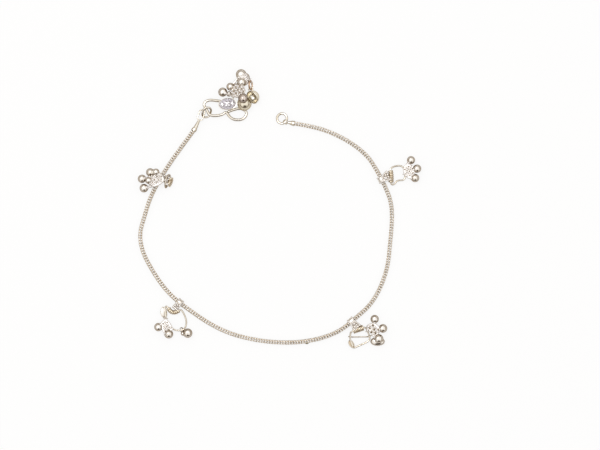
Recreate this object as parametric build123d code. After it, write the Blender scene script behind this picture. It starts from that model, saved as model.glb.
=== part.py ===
from build123d import *
from build123d.topology import SkipClean
import math
import os

os.makedirs("parts", exist_ok=True)

# A silver payal anklet, unfastened and lying on a flat surface, in millimetres.
# X and Y lie in the surface, Z is up, and the lowest points of the pieces stand on z = 0.

# ---- driving dimensions ----
CHAIN_D = 1.6           # fine loop-in-loop chain, outside its links
GAP = 0.12              # clearance between pieces that wrap or lie on each other

RING_D = 4.6            # end ring, outside
RING_WIRE = 0.85
HOOK_WIRE = 0.9         # thick wire of the S-hook
JUMP_WIRE = 0.7         # oval jump ring at the clasp
FINE_WIRE = 0.6         # wire frames and small jump rings
EYE_WIRE = 0.4          # small soldered eyes
EYE_R = 0.7             # mean radius of a small eye
BIG_EYE_R = 0.8         # mean radius of the eyes in the clasp's cluster

SHEET = 0.3             # sheet silver of straps, leaves and bells
RIB_R = 0.2             # half-round ribs of the barrels

PLATE_T = 0.6           # charm plate
GRAIN_R = 0.5           # shot soldered on the charm plates
PIT_R = 0.33            # pierced dots between the shot
BALL_R = 1.5            # polished hollow balls
ARM_R = 0.42            # stem between a charm plate and its ball

BELL_R = 2.6
BELL_SLOT = 0.9

CHAIN_Z = CHAIN_D / 2 + GAP + SHEET + 0.03      # chain's height where a strap wraps it
REST_Z = CHAIN_D / 2 + 0.02                     # and where it lies on the surface
UNDER_Z = 0.92                                  # wire that passes below a charm
CHARM_Z = 1.85                                  # middle of a lying charm plate
MIDDLE = (-0.175, 0.366)                        # middle of the whole outline below

# ---- the chain's route: the corners of its runs, chosen by eye (x, y, z) ----
CHAIN_ROUTE = [
    (4.6, 32.6, 1.0),
    (11.7, 31.5, 0.9),
    (19.4, 29.1, REST_Z),
    (27.0, 25.1, REST_Z),
    (32.9, 20.3, 0.95),
    (36.3, 15.0, CHAIN_Z),
    (39.3, 9.2, CHAIN_Z),
    (41.8, 3.0, 0.95),
    (42.1, -4.2, REST_Z),
    (41.3, -12.5, REST_Z),
    (40.6, -20.4, REST_Z),
    (38.1, -28.5, REST_Z),
    (34.0, -35.6, 0.95),
    (28.5, -40.4, CHAIN_Z),
    (22.9, -45.2, CHAIN_Z),
    (15.6, -48.2, 0.95),
    (7.0, -49.7, REST_Z),
    (-2.0, -49.7, REST_Z),
    (-10.9, -48.5, REST_Z),
    (-19.4, -46.2, REST_Z),
    (-26.6, -42.6, 0.95),
    (-33.2, -38.1, CHAIN_Z),
    (-39.3, -33.6, CHAIN_Z),
    (-44.1, -28.5, 0.95),
    (-48.3, -22.1, REST_Z),
    (-51.7, -15.6, REST_Z),
    (-52.8, -8.9, REST_Z),
    (-50.8, -2.1, REST_Z),
    (-48.7, 4.7, 0.95),
    (-45.8, 10.2, CHAIN_Z),
    (-42.3, 16.1, CHAIN_Z),
    (-37.2, 23.3, 0.95),
    (-34.2, 27.3, 1.1),
    (-32.0, 30.4, 1.25),
]


def corner_radii(route, share=0.45):
    """The arc at each corner takes this share of the shorter of its two runs."""
    radii = []
    for before, corner, after in zip(route, route[1:], route[2:]):
        a = Vector(*corner) - Vector(*before)
        b = Vector(*after) - Vector(*corner)
        half_turn = math.radians(a.get_angle(b)) / 2
        radii.append(share * min(a.length, b.length) / math.tan(half_turn))
    return radii


def export(name, solid):
    placed = Pos(-MIDDLE[0], -MIDDLE[1], 0) * solid
    placed.label = name
    export_step(placed, f"parts/{name}.step")


# ---- small makers shared by the pieces ----
def start_plane(path):
    return Plane(origin=path @ 0, z_dir=path % 0)


def wire_along(points, wire, radius):
    """Round wire along hand-set corners, each rounded by the same radius where it has room."""
    radii = [min(radius, r) for r in corner_radii(points)]
    path = FilletPolyline(*points, radius=radii)
    return sweep(start_plane(path) * Circle(wire / 2), path=path)


def rod(start, end, r_start, r_end=None):
    """Straight rod or taper between two points."""
    axis = Vector(*end) - Vector(*start)
    plane = Plane(origin=start, z_dir=axis.normalized())
    far = plane.offset(axis.length)
    if r_end is None or r_end == r_start:
        return extrude(plane * Circle(r_start), amount=axis.length)
    return loft([plane * Circle(r_start), far * Circle(r_end)])


def ball(centre, radius, axis=(0, 0, 1)):
    """Ball of two halves, its poles along the axis of the stem or sheet that it is soldered to."""
    half = Sphere(radius, arc_size3=180, align=None)
    return Plane(origin=centre, z_dir=axis) * (half + Rot(0, 0, 180) * half)


def eye(centre, around, radius=EYE_R, wire=EYE_WIRE):
    """Small round eye: the direction it faces is that of the wire it encloses."""
    return Plane(origin=centre, z_dir=around) * Torus(radius, wire / 2)


# ---- chain and its two ends ----
def chain_tube():
    radii = corner_radii(CHAIN_ROUTE)
    path = FilletPolyline(*CHAIN_ROUTE, radius=radii)
    tube = sweep(start_plane(path) * Circle(CHAIN_D / 2), path=path)
    print("chain radii, mm:", " ".join(f"{r:.1f}" for r in radii))
    section = math.pi * CHAIN_D ** 2 / 4
    print(f"chain length {path.length:.1f} mm, volume / (section x length) = "
          f"{tube.volume / (section * path.length):.4f}")
    return tube


RING_R = (RING_D - RING_WIRE) / 2
RING_CENTRE = (0.75, 34.35, 0.77)
RING_LEAN = 10.5          # degrees: its right side is lifted by the strap folded round it
FOLD_SPOT = (2.054, 33.02, 1.01)


def end_ring():
    return Pos(*RING_CENTRE) * Rot(0, -RING_LEAN, 0) * Torus(RING_R, RING_WIRE / 2)


def ring_end_cap():
    """Strap folded round the end ring, then a taper up to the chain's end."""
    inner = RING_WIRE / 2 + 0.2
    outer = inner + SHEET
    band = 1.1
    plane = Plane(origin=FOLD_SPOT, x_dir=(1, -1, 0), z_dir=(1, 1, 0.14))
    roll = extrude(plane * (Circle(outer) - Circle(inner)), amount=band / 2, both=True)
    chain_end = Vector(*CHAIN_ROUTE[0])
    toward = (Vector(*CHAIN_ROUTE[1]) - chain_end).normalized()
    tip = chain_end - toward * 0.2
    taper = rod((2.95, 32.86, FOLD_SPOT[2]), tip, 0.45, CHAIN_D / 2 - 0.02)
    bore = extrude(plane * Circle(inner), amount=band, both=True)
    return roll + (taper - bore)


JUMP_CENTRE = (-27.5, 36.6, 1.48)
JUMP_LENGTH = 4.9
JUMP_WIDTH = 3.8
JUMP_LONG = (0.3, 0.95, 0.475)          # it leans: the far side is over the hook's wire
JUMP_FACE = (0.35, -0.61, 1.0)


def oval_ring(plane, length, width, wire):
    """Link of two straight sides and two half-round ends, its long side along the plane's X."""
    bend = (width - wire) / 2
    straight = length - width
    sides = []
    for side in (-1, 1):
        start = plane.from_local_coords((-straight / 2, side * bend, 0))
        end = plane.from_local_coords((straight / 2, side * bend, 0))
        sides.append(rod(start, end, wire / 2))
    ends = []
    for side, turn in ((1, -90), (-1, 90)):
        half = Torus(bend, wire / 2, major_angle=180, align=None)
        ends.append(plane * Pos(side * straight / 2, 0, 0) * Rot(0, 0, turn) * half)
    return sides[0] + sides[1] + ends[0] + ends[1]


def clasp_jump_ring():
    plane = Plane(origin=JUMP_CENTRE, x_dir=JUMP_LONG, z_dir=JUMP_FACE)
    return oval_ring(plane, JUMP_LENGTH, JUMP_WIDTH, JUMP_WIRE)


LOOP_CENTRE = (-29.55, 35.6, 1.8)
LOOP_LENGTH = 4.6
LOOP_WIDTH = 2.5
LOOP_WIRE = 0.5
LOOP_LONG = (0.35, 0.937, -0.09)


def clasp_end_cap():
    """Smooth taper over the chain's end that opens into a long loop for the oval jump ring."""
    chain_end = Vector(*CHAIN_ROUTE[-1])
    toward = (chain_end - Vector(*CHAIN_ROUTE[-2])).normalized()
    start = chain_end + toward * 0.25
    plane = Plane(origin=LOOP_CENTRE, x_dir=LOOP_LONG, z_dir=(0, 0.096, 1))
    neck = plane.from_local_coords((0.35 - LOOP_LENGTH / 2, 0, 0))
    return rod(start, neck, CHAIN_D / 2 - 0.05, 0.4) + oval_ring(plane, LOOP_LENGTH, LOOP_WIDTH, LOOP_WIRE)


# ---- S-hook with its oval plate ----
# Corners of the hook's wire, from below the plate round the closed loop, along the stem,
# then round the open hook to its tip (x, y). The left side is lifted by the jump ring.
HOOK_PATH = [
    (-20.6, 40.5), (-23.3, 40.9), (-26.8, 41.0), (-28.5, 39.8), (-27.7, 38.1), (-26.4, 35.7),
    (-21.9, 35.6), (-20.2, 36.7), (-18.7, 34.9), (-16.7, 34.0), (-14.2, 34.4), (-12.7, 36.1),
    (-13.5, 37.7), (-15.9, 38.4), (-18.8, 36.9),
]
HOOK_LEAN = 4.6         # degrees
HOOK_PIVOT_X = -12.2    # the hook's right end stays on the surface
PLATE_CENTRE = (-19.8, 39.75)
PLATE_HALF = (3.45, 2.35)
PLATE_TURN = 6
HOOK_PLATE_T = 0.45


def plate_ornament(top):
    """Plain raised flower between two lozenges."""
    relief = 0.18
    petals = [
        Rot(0, 0, 90 * k + 45) * Pos(0.55, 0, top) * extrude(Ellipse(0.48, 0.26), amount=relief)
        for k in range(4)
    ]
    flower = Pos(0, 0, top) * Cylinder(0.25, relief + 0.08, align=(Align.CENTER, Align.CENTER, Align.MIN))
    for petal in petals:
        flower += petal
    for side in (-1, 1):
        lozenge = extrude(Polygon((-0.42, 0), (0, -0.55), (0.42, 0), (0, 0.55)), amount=relief)
        flower += Pos(side * 1.85, 0, top) * lozenge
    return flower


def s_hook():
    hook_z = HOOK_WIRE / 2
    corners = [(x, y, hook_z) for x, y in HOOK_PATH]
    wire = wire_along(corners, HOOK_WIRE, 1.6)
    tip = ball(corners[-1], HOOK_WIRE / 2)
    tail = ball(corners[0], HOOK_WIRE / 2)
    plate_z = HOOK_WIRE - 0.08
    blank = extrude(Ellipse(*PLATE_HALF), amount=HOOK_PLATE_T)
    rim = Ellipse(*PLATE_HALF) - Ellipse(PLATE_HALF[0] - 0.3, PLATE_HALF[1] - 0.3)
    blank += Pos(0, 0, HOOK_PLATE_T) * extrude(rim, amount=0.14)
    blank += plate_ornament(HOOK_PLATE_T)
    plate = Pos(*PLATE_CENTRE, plate_z) * Rot(0, 0, PLATE_TURN) * blank
    hook = wire + tip + tail + plate
    pivot = Pos(HOOK_PIVOT_X, 0, 0) * Rot(0, HOOK_LEAN, 0) * Pos(-HOOK_PIVOT_X, 0, 0)
    hook = pivot * hook
    stem = rod((-18.0, 41.3, 1.5), (-16.95, 43.1, CLUSTER_CENTRE[2]), 0.32, 0.28)
    eye_spot = ring_point(CLUSTER_CENTRE, CLUSTER_R, 210, outward=0.1)
    return hook + stem + eye(eye_spot, ring_tangent(210), BIG_EYE_R)


# ---- rings, bells and charm at the clasp ----
CLUSTER_CENTRE = (-14.9, 44.3, 2.1)
CLUSTER_R = 1.5
TOP_RING_CENTRE = (-11.0, 46.8, 2.0)
TOP_RING_R = 1.6
TOP_RING_LEAN = 20
BELL_A = (-13.3, 39.9, BELL_R + 0.25)     # it leans on the hook's wire
BELL_B = (-10.35, 42.2, BELL_R)


def ring_point(centre, radius, degrees, outward=0.0):
    a = math.radians(degrees)
    reach = radius + outward
    return (centre[0] + reach * math.cos(a), centre[1] + reach * math.sin(a), centre[2])


def ring_tangent(degrees):
    a = math.radians(degrees)
    return (-math.sin(a), math.cos(a), 0)


def cluster_ring():
    return Pos(*CLUSTER_CENTRE) * Torus(CLUSTER_R, FINE_WIRE / 2)


def top_ring():
    stand = Rot(0, 90 - TOP_RING_LEAN, 0)
    return Pos(*TOP_RING_CENTRE) * stand * Torus(TOP_RING_R, FINE_WIRE / 2)


def bell_a():
    """Closed hollow bell with a narrow slot below and an eye on a short neck."""
    shell = ball(BELL_A, BELL_R) - ball(BELL_A, BELL_R - SHEET)
    slot = Pos(BELL_A[0], BELL_A[1] - 1.3, 0.6) * Box(2 * BELL_R, BELL_SLOT, 1.6)
    seam = Pos(*BELL_A) * Torus(BELL_R, 0.1)
    spot = (-14.65, 42.87, CLUSTER_CENTRE[2])
    toward = Vector(*spot) - Vector(*BELL_A)
    root = Vector(*BELL_A) + toward.normalized() * (BELL_R - 0.1)
    neck_end = Vector(*spot) - toward.normalized() * (BIG_EYE_R - 0.05)
    neck = rod(root, neck_end, 0.35)
    facing = Vector(toward.Y, -toward.X, 0).normalized()
    return (shell - slot) + (seam - ball(BELL_A, BELL_R - SHEET)) + neck + eye(spot, facing, BIG_EYE_R)


BELL_B_MOUTH = (-0.6, -0.48, 0.64)      # its open side faces bell A and up


def bell_b():
    """Open-mouthed bell: half a hollow ball with a rolled rim."""
    shell = ball(BELL_B, BELL_R) - ball(BELL_B, BELL_R - SHEET)
    mouth = Plane(origin=BELL_B, z_dir=BELL_B_MOUTH)
    cutter = extrude(mouth * Circle(2 * BELL_R), amount=2 * BELL_R)
    rim = mouth * Torus(BELL_R - SHEET / 2, 0.22)
    spot = (-11.0, 45.3, 2.0)
    return (shell - cutter) + rim + eye(spot, (0, 0, 1), BIG_EYE_R)


def charm(corners, balls, grid=(3, 3), lobes=()):
    """Kite of sheet with shot on both faces, pierced between, and balls on short stems.

    corners: hanging corner, then the other three in turn; balls: (corner, centre, radius)."""
    a, b, c, d = (Vector(*p) for p in corners)
    plane = Plane(origin=a, x_dir=b - a, z_dir=(b - a).cross(d - a))
    flat = [plane.to_local_coords(p) for p in (a, b, c, d)]
    outline = Polygon(*[(p.X, p.Y) for p in flat], align=None)
    body = extrude(plane * outline, amount=PLATE_T / 2, both=True)

    def spot(u, v):
        return (a * (1 - u) + b * u) * (1 - v) + (d * (1 - u) + c * u) * v

    across, along = grid
    for i in range(across):
        for j in range(along):
            u = i / (across - 1)
            v = j / (along - 1)
            body += ball(spot(u, v), GRAIN_R, plane.z_dir)
    for i in range(across - 1):
        for j in range(along - 1):
            centre = spot((i + 0.5) / (across - 1), (j + 0.5) / (along - 1))
            pit = Plane(origin=centre, z_dir=plane.z_dir)
            body -= extrude(pit * Circle(PIT_R), amount=GRAIN_R, both=True)
    for corner, centre, radius in balls:
        root = (a, b, c, d)[corner]
        body += rod(root, centre, ARM_R)
        body += ball(centre, radius, Vector(*centre) - root)
    for centre, radius in lobes:
        body += ball(centre, radius)
    return body


def clasp_charm():
    """Three-armed charm: two arms lie on the surface, the third leans on bell A."""
    left = (-21.45, 44.2, 1.7)
    top = (-14.55, 50.8, 1.95)
    right = (-13.75, 41.65, BELL_A[2] + 4.2)
    corners = [(-17.4, 47.4), (-13.6, 46.1), (-13.7, 42.5), (-17.8, 42.6)]
    corners = [(x, y, 1.6 + 0.77 * lean_distance(x, y, left, top)) for x, y in corners]
    made = charm(
        corners,
        [(3, left, 1.7), (0, top, 1.95), (2, right, 1.8)],
        grid=(3, 3),
        lobes=[((-13.1, 49.65, 1.8), 1.75), ((-14.3, 47.9, 3.2), 1.7),
               ((-18.6, 46.2, 2.4), 1.45), ((-19.1, 43.5, 2.2), 1.0)],
    )
    hang = ring_point(CLUSTER_CENTRE, CLUSTER_R, 155, outward=-0.05)
    made += eye((hang[0], hang[1], hang[2] + 0.15), ring_tangent(155), BIG_EYE_R)
    made += rod((hang[0], hang[1], hang[2] + 0.15 + BIG_EYE_R), (hang[0], hang[1], 3.9), 0.25)
    made += eye((-11.15, 48.45, 2.0), (-0.34, 0, 0.94), EYE_R)
    return made


def lean_distance(x, y, first, second):
    """Distance in plan from the line through the two balls that lie on the surface."""
    dx = second[0] - first[0]
    dy = second[1] - first[1]
    return ((x - first[0]) * dy - (y - first[1]) * dx) / math.hypot(dx, dy)


# ---- the four drops ----
# Strap: which run of the chain it wraps, how far along it, the side on which it hangs, its length
# and its width.
# Barrel: its two ends, and how far its middle bows out. Bead: shot soldered beside it.
BAILS = {
    1: dict(run=29, at=0.4, side=1, length=3.7, width=2.4,
            barrel=((-41.1, 12.1), (-42.1, 9.2)), bow=0.35, r=1.0, bead=(-42.45, 9.7, 1.95)),
    2: dict(run=21, at=0.74, side=-1, length=3.5, width=2.4,
            barrel=((-41.93, -36.75), (-37.9, -37.6)), bow=1.2, r=0.8, bead=None),
    3: dict(run=13, at=0.3, side=-1, length=3.3, width=3.0,
            barrel=((27.4, -45.4), (31.3, -44.1)), bow=0, r=1.05, bead=None),
    4: dict(run=5, at=0.6, side=-1, length=3.4, width=3.0,
            barrel=((41.4, 14.8), (41.6, 10.3)), bow=0.2, r=0.9, bead=(39.7, 11.9, 1.2)),
}
BORE_DEPTH = 0.8


def wrap_plane(row):
    """Section plane of the chain where the strap wraps it, with X in the direction it hangs."""
    start = Vector(*CHAIN_ROUTE[row["run"]])
    end = Vector(*CHAIN_ROUTE[row["run"] + 1])
    along = (end - start).normalized()
    hang = along.cross(Vector(0, 0, 1)) * row["side"]
    return Plane(origin=start * (1 - row["at"]) + end * row["at"], x_dir=hang, z_dir=hang.cross(Vector(0, 0, 1)))


def barrel_path(row):
    start, end = (Vector(x, y, CHAIN_Z) for x, y in row["barrel"])
    if not row["bow"]:
        return Line(start, end)
    middle = (start + end) / 2
    chord = (end - start).normalized()
    out = middle - wrap_plane(row).origin
    out = (out - chord * out.dot(chord)).normalized()
    return ThreePointArc(start, middle + out * row["bow"], end)


def bail(row):
    """Strap folded round the chain, soldered to a ribbed barrel with a bore in each end."""
    plane = wrap_plane(row)
    inner = CHAIN_D / 2 + GAP
    outer = inner + SHEET
    reach = row["length"]
    far = row["r"] - 0.1
    loop = Circle(outer) + Pos(reach, 0) * Circle(far)
    loop += Polygon((0, -outer), (reach, -far), (reach, far), (0, outer), align=None)
    window = Circle(inner) + Pos(reach - 1.5, 0) * Circle(far - SHEET)
    window += Polygon((0, -inner), (reach - 1.5, SHEET - far), (reach - 1.5, far - SHEET), (0, inner), align=None)
    strap = extrude(plane * (loop - window), amount=row["width"] / 2, both=True)

    path = barrel_path(row)
    core = row["r"] - RIB_R / 2
    barrel = sweep(start_plane(path) * Circle(core), path=path)
    ribs = max(6, round(path.length / 0.62))
    for k in range(ribs):
        t = (k + 0.5) / ribs
        rib_plane = Plane(origin=path @ t, z_dir=path % t)
        barrel += rib_plane * Torus(core, RIB_R)
    body = strap + barrel
    if row["bead"]:
        body += ball(row["bead"], 0.75)
    for t in (0, 1):
        mouth = Plane(origin=path @ t, z_dir=path % t)
        body -= extrude(mouth * Circle(FINE_WIRE / 2 + GAP), amount=BORE_DEPTH, both=True)
    return body


# Corners of each wire frame, from the barrel's second end round to its first (x, y, z).
FRAMES = {
    1: [(-42.9, 8.3, 1.9), (-43.0, 9.3, 3.4), (-42.7, 12.2, 3.4), (-41.6, 13.4, 2.2)],
    2: [(-36.3, -38.4, 1.1), (-35.4, -40.9, UNDER_Z), (-35.35, -43.3, UNDER_Z),
        (-36.5, -45.1, UNDER_Z), (-40.3, -45.0, UNDER_Z), (-42.9, -41.6, UNDER_Z),
        (-42.95, -36.5, UNDER_Z)],
    3: [(32.7, -45.0, UNDER_Z), (33.8, -48.1, UNDER_Z), (32.9, -49.3, UNDER_Z),
        (27.7, -52.1, UNDER_Z), (26.35, -48.5, UNDER_Z), (26.6, -46.4, UNDER_Z)],
    4: [(42.9, 9.6, 1.1), (43.9, 11.1, UNDER_Z), (46.9, 11.3, UNDER_Z), (46.8, 14.6, UNDER_Z),
        (45.9, 16.5, UNDER_Z), (43.1, 16.4, UNDER_Z)],
}
OUTSIDE = 0.65          # the wire runs straight this far outside each bore


def bore_line(path, t):
    """In one end of a barrel: where the frame's wire is seated, and where it leaves the bore."""
    inward = path % t if t == 0 else -(path % t)
    mouth = path @ t
    return mouth + inward * (BORE_DEPTH - 0.15), mouth - inward * OUTSIDE


def wire_frame(number):
    """Loop of fine wire whose two ends turn into the barrel's bores."""
    path = barrel_path(BAILS[number])
    first_seat, first_out = bore_line(path, 0)
    second_seat, second_out = bore_line(path, 1)
    corners = [second_seat, second_out] + FRAMES[number] + [first_out, first_seat]
    return wire_along(corners, FINE_WIRE, 0.9)


# Each charm: its plate's corners, its balls as (corner, centre, radius), and the eye that holds it.
CHARMS = {
    2: dict(corners=[(-42.8, -41.0), (-44.7, -43.0), (-43.0, -46.3), (-40.2, -44.6)],
            balls=[(1, (-45.6, -43.9), 1.55), (2, (-41.7, -46.5), 1.65)], lobes=[],
            eye=(-42.9, -40.7), facing=(0, 1, 0)),
    3: dict(corners=[(32.7, -43.5), (35.4, -42.5), (37.6, -44.8), (35.4, -47.6)],
            balls=[(1, (35.5, -40.9), 1.55), (2, (38.6, -44.4), 1.6), (3, (37.0, -48.3), 1.75)],
            lobes=[((37.0, -49.2), 1.75)],
            eye=(32.85, -45.4), facing=(-0.33, 0.94, 0)),
    4: dict(corners=[(46.6, 14.2), (47.7, 17.1), (50.2, 15.1), (49.0, 11.9)],
            balls=[(1, (49.15, 18.7), BALL_R), (2, (51.4, 15.5), 1.55), (3, (50.65, 12.0), 1.55)],
            lobes=[],
            eye=(46.84, 13.4), facing=(0, 1, 0)),
}


def lying_charm(row):
    corners = [(x, y, CHARM_Z) for x, y in row["corners"]]
    balls = [(corner, (*centre, radius), radius) for corner, centre, radius in row["balls"]]
    lobes = [((*centre, radius), radius) for centre, radius in row["lobes"]]
    made = charm(corners, balls, lobes=lobes)
    made += rod(corners[0], (*row["eye"], UNDER_Z + EYE_R), 0.3)
    return made + eye((*row["eye"], UNDER_Z), row["facing"])


def flipped_charm():
    """The first drop's charm is flipped back over its strap and slopes down to the surface."""
    def over(x, y):
        return (x, y, 3.75 + 0.288 * (x + 45.0))
    corners = [over(-43.3, 11.3), over(-46.3, 13.9), over(-49.3, 12.1), over(-47.9, 8.9)]
    balls = [
        (1, over(-48.6, 14.1), 1.55),
        (2, (-51.75, 11.7, 1.6), 1.55),
        (3, (-51.0, 8.2, 1.65), 1.6),
    ]
    made = charm(corners, balls, lobes=[(over(-46.4, 14.25), 1.25), (over(-49.2, 11.1), 1.3)])
    made += rod(over(-46.4, 14.25), over(-48.6, 14.1), 1.0)
    return made + eye((-42.8, 11.2, 3.4), (0.1, 0.99, 0))


def ball_2():
    """Single ball on a collar, with an eye round the corner of the second frame."""
    centre = (-34.6, -46.15, 1.75)
    spot = (-36.9, -44.95, UNDER_Z)
    collar = (-36.4, -46.35, 1.0)
    made = ball(centre, 1.75) + ball(collar, 0.8)
    return made + eye(spot, (0.65, 0.2, 0.73), BIG_EYE_R)


def leaf(spine_start, spine_end, side, width, beyond=0.0):
    """Leaf of sheet whose edge is curled round the frame's wire; it may reach beyond the curl."""
    start = Vector(*spine_start)
    end = Vector(*spine_end)
    axis = end - start
    hole = FINE_WIRE / 2 + GAP
    curl = rod(spine_start, spine_end, hole + 0.22)
    out = Vector(*side).normalized()
    plane = Plane(origin=start, x_dir=out, z_dir=axis)
    flap = Pos((hole + width) / 2 + 0.05, 0) * Rectangle(width, SHEET)
    flap_solid = extrude(plane.offset(-beyond) * flap, amount=axis.length + beyond)
    bore = extrude(plane * Circle(hole), amount=2 * axis.length, both=True)
    return curl + flap_solid - bore


def tie_3():
    """Fine wire with an eye at each end, across the third frame."""
    left = (26.45, -47.6, UNDER_Z)
    right = (33.52, -47.35, UNDER_Z)
    made = rod((27.15, -47.65, UNDER_Z), (32.86, -47.58, UNDER_Z), 0.22)
    return made + eye(left, (0.12, 0.99, 0)) + eye(right, (0.33, -0.94, 0))


# Seams are kept as they are made, so that each ball's surface stays whole when it is written.
with SkipClean():
    export("chain", chain_tube())
    export("end_ring", end_ring())
    export("ring_end_cap", ring_end_cap())
    export("clasp_jump_ring", clasp_jump_ring())
    export("clasp_end_cap", clasp_end_cap())
    export("s_hook", s_hook())
    export("cluster_ring", cluster_ring())
    export("top_ring", top_ring())
    export("bell_a", bell_a())
    export("bell_b", bell_b())
    export("clasp_charm", clasp_charm())
    for number, row in BAILS.items():
        export(f"bail_{number}", bail(row))
        export(f"frame_{number}", wire_frame(number))
    export("charm_1", flipped_charm())
    for number, row in CHARMS.items():
        export(f"charm_{number}", lying_charm(row))
    export("ball_2", ball_2())
    export("leaf_2", leaf((-42.94, -38.2, UNDER_Z), (-42.92, -39.8, UNDER_Z), (-1, 0, 0), 1.4, beyond=1.6))
    export("leaf_3", leaf((26.62, -49.2, UNDER_Z), (27.33, -51.1, UNDER_Z), (-0.94, -0.34, 0), 1.2))
    export("tie_3", tie_3())
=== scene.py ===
import math
import bmesh
import bpy
import numpy as np
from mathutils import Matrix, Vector


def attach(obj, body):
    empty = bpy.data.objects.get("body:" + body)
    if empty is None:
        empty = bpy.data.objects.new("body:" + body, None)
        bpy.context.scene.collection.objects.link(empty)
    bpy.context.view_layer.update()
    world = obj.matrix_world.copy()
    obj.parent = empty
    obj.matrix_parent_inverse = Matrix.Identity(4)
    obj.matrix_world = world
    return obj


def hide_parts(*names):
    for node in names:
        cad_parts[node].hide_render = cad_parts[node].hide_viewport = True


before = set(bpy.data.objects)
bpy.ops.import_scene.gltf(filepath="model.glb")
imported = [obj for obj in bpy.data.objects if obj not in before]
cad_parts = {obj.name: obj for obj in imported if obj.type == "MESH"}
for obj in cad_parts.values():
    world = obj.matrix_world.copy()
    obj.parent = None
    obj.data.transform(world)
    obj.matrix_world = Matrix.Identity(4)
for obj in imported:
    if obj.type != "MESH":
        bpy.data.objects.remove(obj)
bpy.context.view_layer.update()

# ---- the place where the anklet lies ----
# A plain white sheet in a small light tent. The tent's walls are pale above and a warm brown near the
# table, which gives the polished silver its thin dark edges.
view_width = 0.225
camera_height = 1.0
camera_data = bpy.data.cameras.new("camera_above")
camera_data.sensor_width = 36
camera_data.lens = camera_data.sensor_width * camera_height / view_width
camera_data.clip_start = 0.01
camera = bpy.data.objects.new("camera_above", camera_data)
camera.location = (0.00768, -0.00599, camera_height + 0.0015)
bpy.context.scene.collection.objects.link(camera)
bpy.context.scene.camera = camera

sheet_size = 3.0
sheet_mesh = bpy.data.meshes.new("white_sheet")
half = sheet_size / 2
sheet_corners = [(-half, -half, 0), (half, -half, 0), (half, half, 0), (-half, half, 0)]
sheet_mesh.from_pydata(sheet_corners, [], [(0, 1, 2, 3)])
white_sheet = bpy.data.objects.new("white_sheet", sheet_mesh)
bpy.context.scene.collection.objects.link(white_sheet)

paper = bpy.data.materials.new("paper")
paper.use_nodes = True
paper_nodes = paper.node_tree.nodes
paper_links = paper.node_tree.links
paper_nodes.clear()
paper_out = paper_nodes.new("ShaderNodeOutputMaterial")
paper_matt = paper_nodes.new("ShaderNodeBsdfDiffuse")
paper_matt.inputs["Color"].default_value = (0.93, 0.925, 0.915, 1)
paper_glow = paper_nodes.new("ShaderNodeEmission")
paper_glow.inputs["Strength"].default_value = 1.0
paper_rays = paper_nodes.new("ShaderNodeLightPath")
paper_mirrored = paper_nodes.new("ShaderNodeMath")
paper_mirrored.operation = "MAXIMUM"
paper_seen = paper_nodes.new("ShaderNodeMath")
paper_seen.operation = "MAXIMUM"
paper_share = paper_nodes.new("ShaderNodeMath")
paper_share.operation = "MULTIPLY"
paper_share.inputs[1].default_value = 0.85
paper_mix = paper_nodes.new("ShaderNodeMixShader")
paper_links.new(paper_rays.outputs["Is Glossy Ray"], paper_mirrored.inputs[0])
paper_links.new(paper_rays.outputs["Is Transmission Ray"], paper_mirrored.inputs[1])
paper_links.new(paper_rays.outputs["Is Camera Ray"], paper_seen.inputs[0])
paper_links.new(paper_mirrored.outputs[0], paper_seen.inputs[1])
paper_links.new(paper_seen.outputs[0], paper_share.inputs[0])
paper_links.new(paper_share.outputs[0], paper_mix.inputs["Fac"])
paper_links.new(paper_matt.outputs["BSDF"], paper_mix.inputs[1])
paper_links.new(paper_glow.outputs["Emission"], paper_mix.inputs[2])
paper_links.new(paper_mix.outputs["Shader"], paper_out.inputs["Surface"])
sheet_mesh.materials.append(paper)

tent = bpy.data.worlds.new("light_tent")
tent.use_nodes = True
bpy.context.scene.world = tent
tent_nodes = tent.node_tree.nodes
tent_links = tent.node_tree.links
tent_nodes.clear()
tent_out = tent_nodes.new("ShaderNodeOutputWorld")
tent_light = tent_nodes.new("ShaderNodeBackground")
tent_place = tent_nodes.new("ShaderNodeTexCoord")
tent_axes = tent_nodes.new("ShaderNodeSeparateXYZ")
tent_walls = tent_nodes.new("ShaderNodeValToRGB")
tent_walls.color_ramp.interpolation = "EASE"
wall_steps = [(0.0, (0.18, 0.14, 0.10)), (0.12, (0.18, 0.14, 0.10)), (0.30, (0.40, 0.33, 0.26)),
              (0.46, (0.96, 0.94, 0.92)), (1.0, (1.0, 0.99, 0.985))]
while len(tent_walls.color_ramp.elements) < len(wall_steps):
    tent_walls.color_ramp.elements.new(1.0)
for step, (height, colour) in zip(tent_walls.color_ramp.elements, wall_steps):
    step.position = height
    step.color = (*colour, 1)
tent_light.inputs["Strength"].default_value = 1.05
tent_links.new(tent_place.outputs["Generated"], tent_axes.inputs["Vector"])
tent_links.new(tent_axes.outputs["Z"], tent_walls.inputs["Fac"])

# The tent's opening, low in its front wall, with the dark room behind it.
opening_way = Vector((0.10, -0.84, 0.54)).normalized()
opening_half_angle = 27
opening_clear_angle = 19
tent_toward = tent_nodes.new("ShaderNodeVectorMath")
tent_toward.operation = "DOT_PRODUCT"
tent_toward.inputs[1].default_value = opening_way
tent_gap = tent_nodes.new("ShaderNodeMapRange")
tent_gap.interpolation_type = "SMOOTHSTEP"
tent_gap.inputs["From Min"].default_value = math.cos(math.radians(opening_half_angle))
tent_gap.inputs["From Max"].default_value = math.cos(math.radians(opening_clear_angle))
tent_room = tent_nodes.new("ShaderNodeMix")
tent_room.data_type = "RGBA"
tent_room.inputs["B"].default_value = (0.07, 0.05, 0.035, 1)
tent_links.new(tent_place.outputs["Generated"], tent_toward.inputs[0])
tent_links.new(tent_toward.outputs["Value"], tent_gap.inputs["Value"])
tent_links.new(tent_gap.outputs["Result"], tent_room.inputs["Factor"])
tent_links.new(tent_walls.outputs["Color"], tent_room.inputs["A"])
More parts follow.
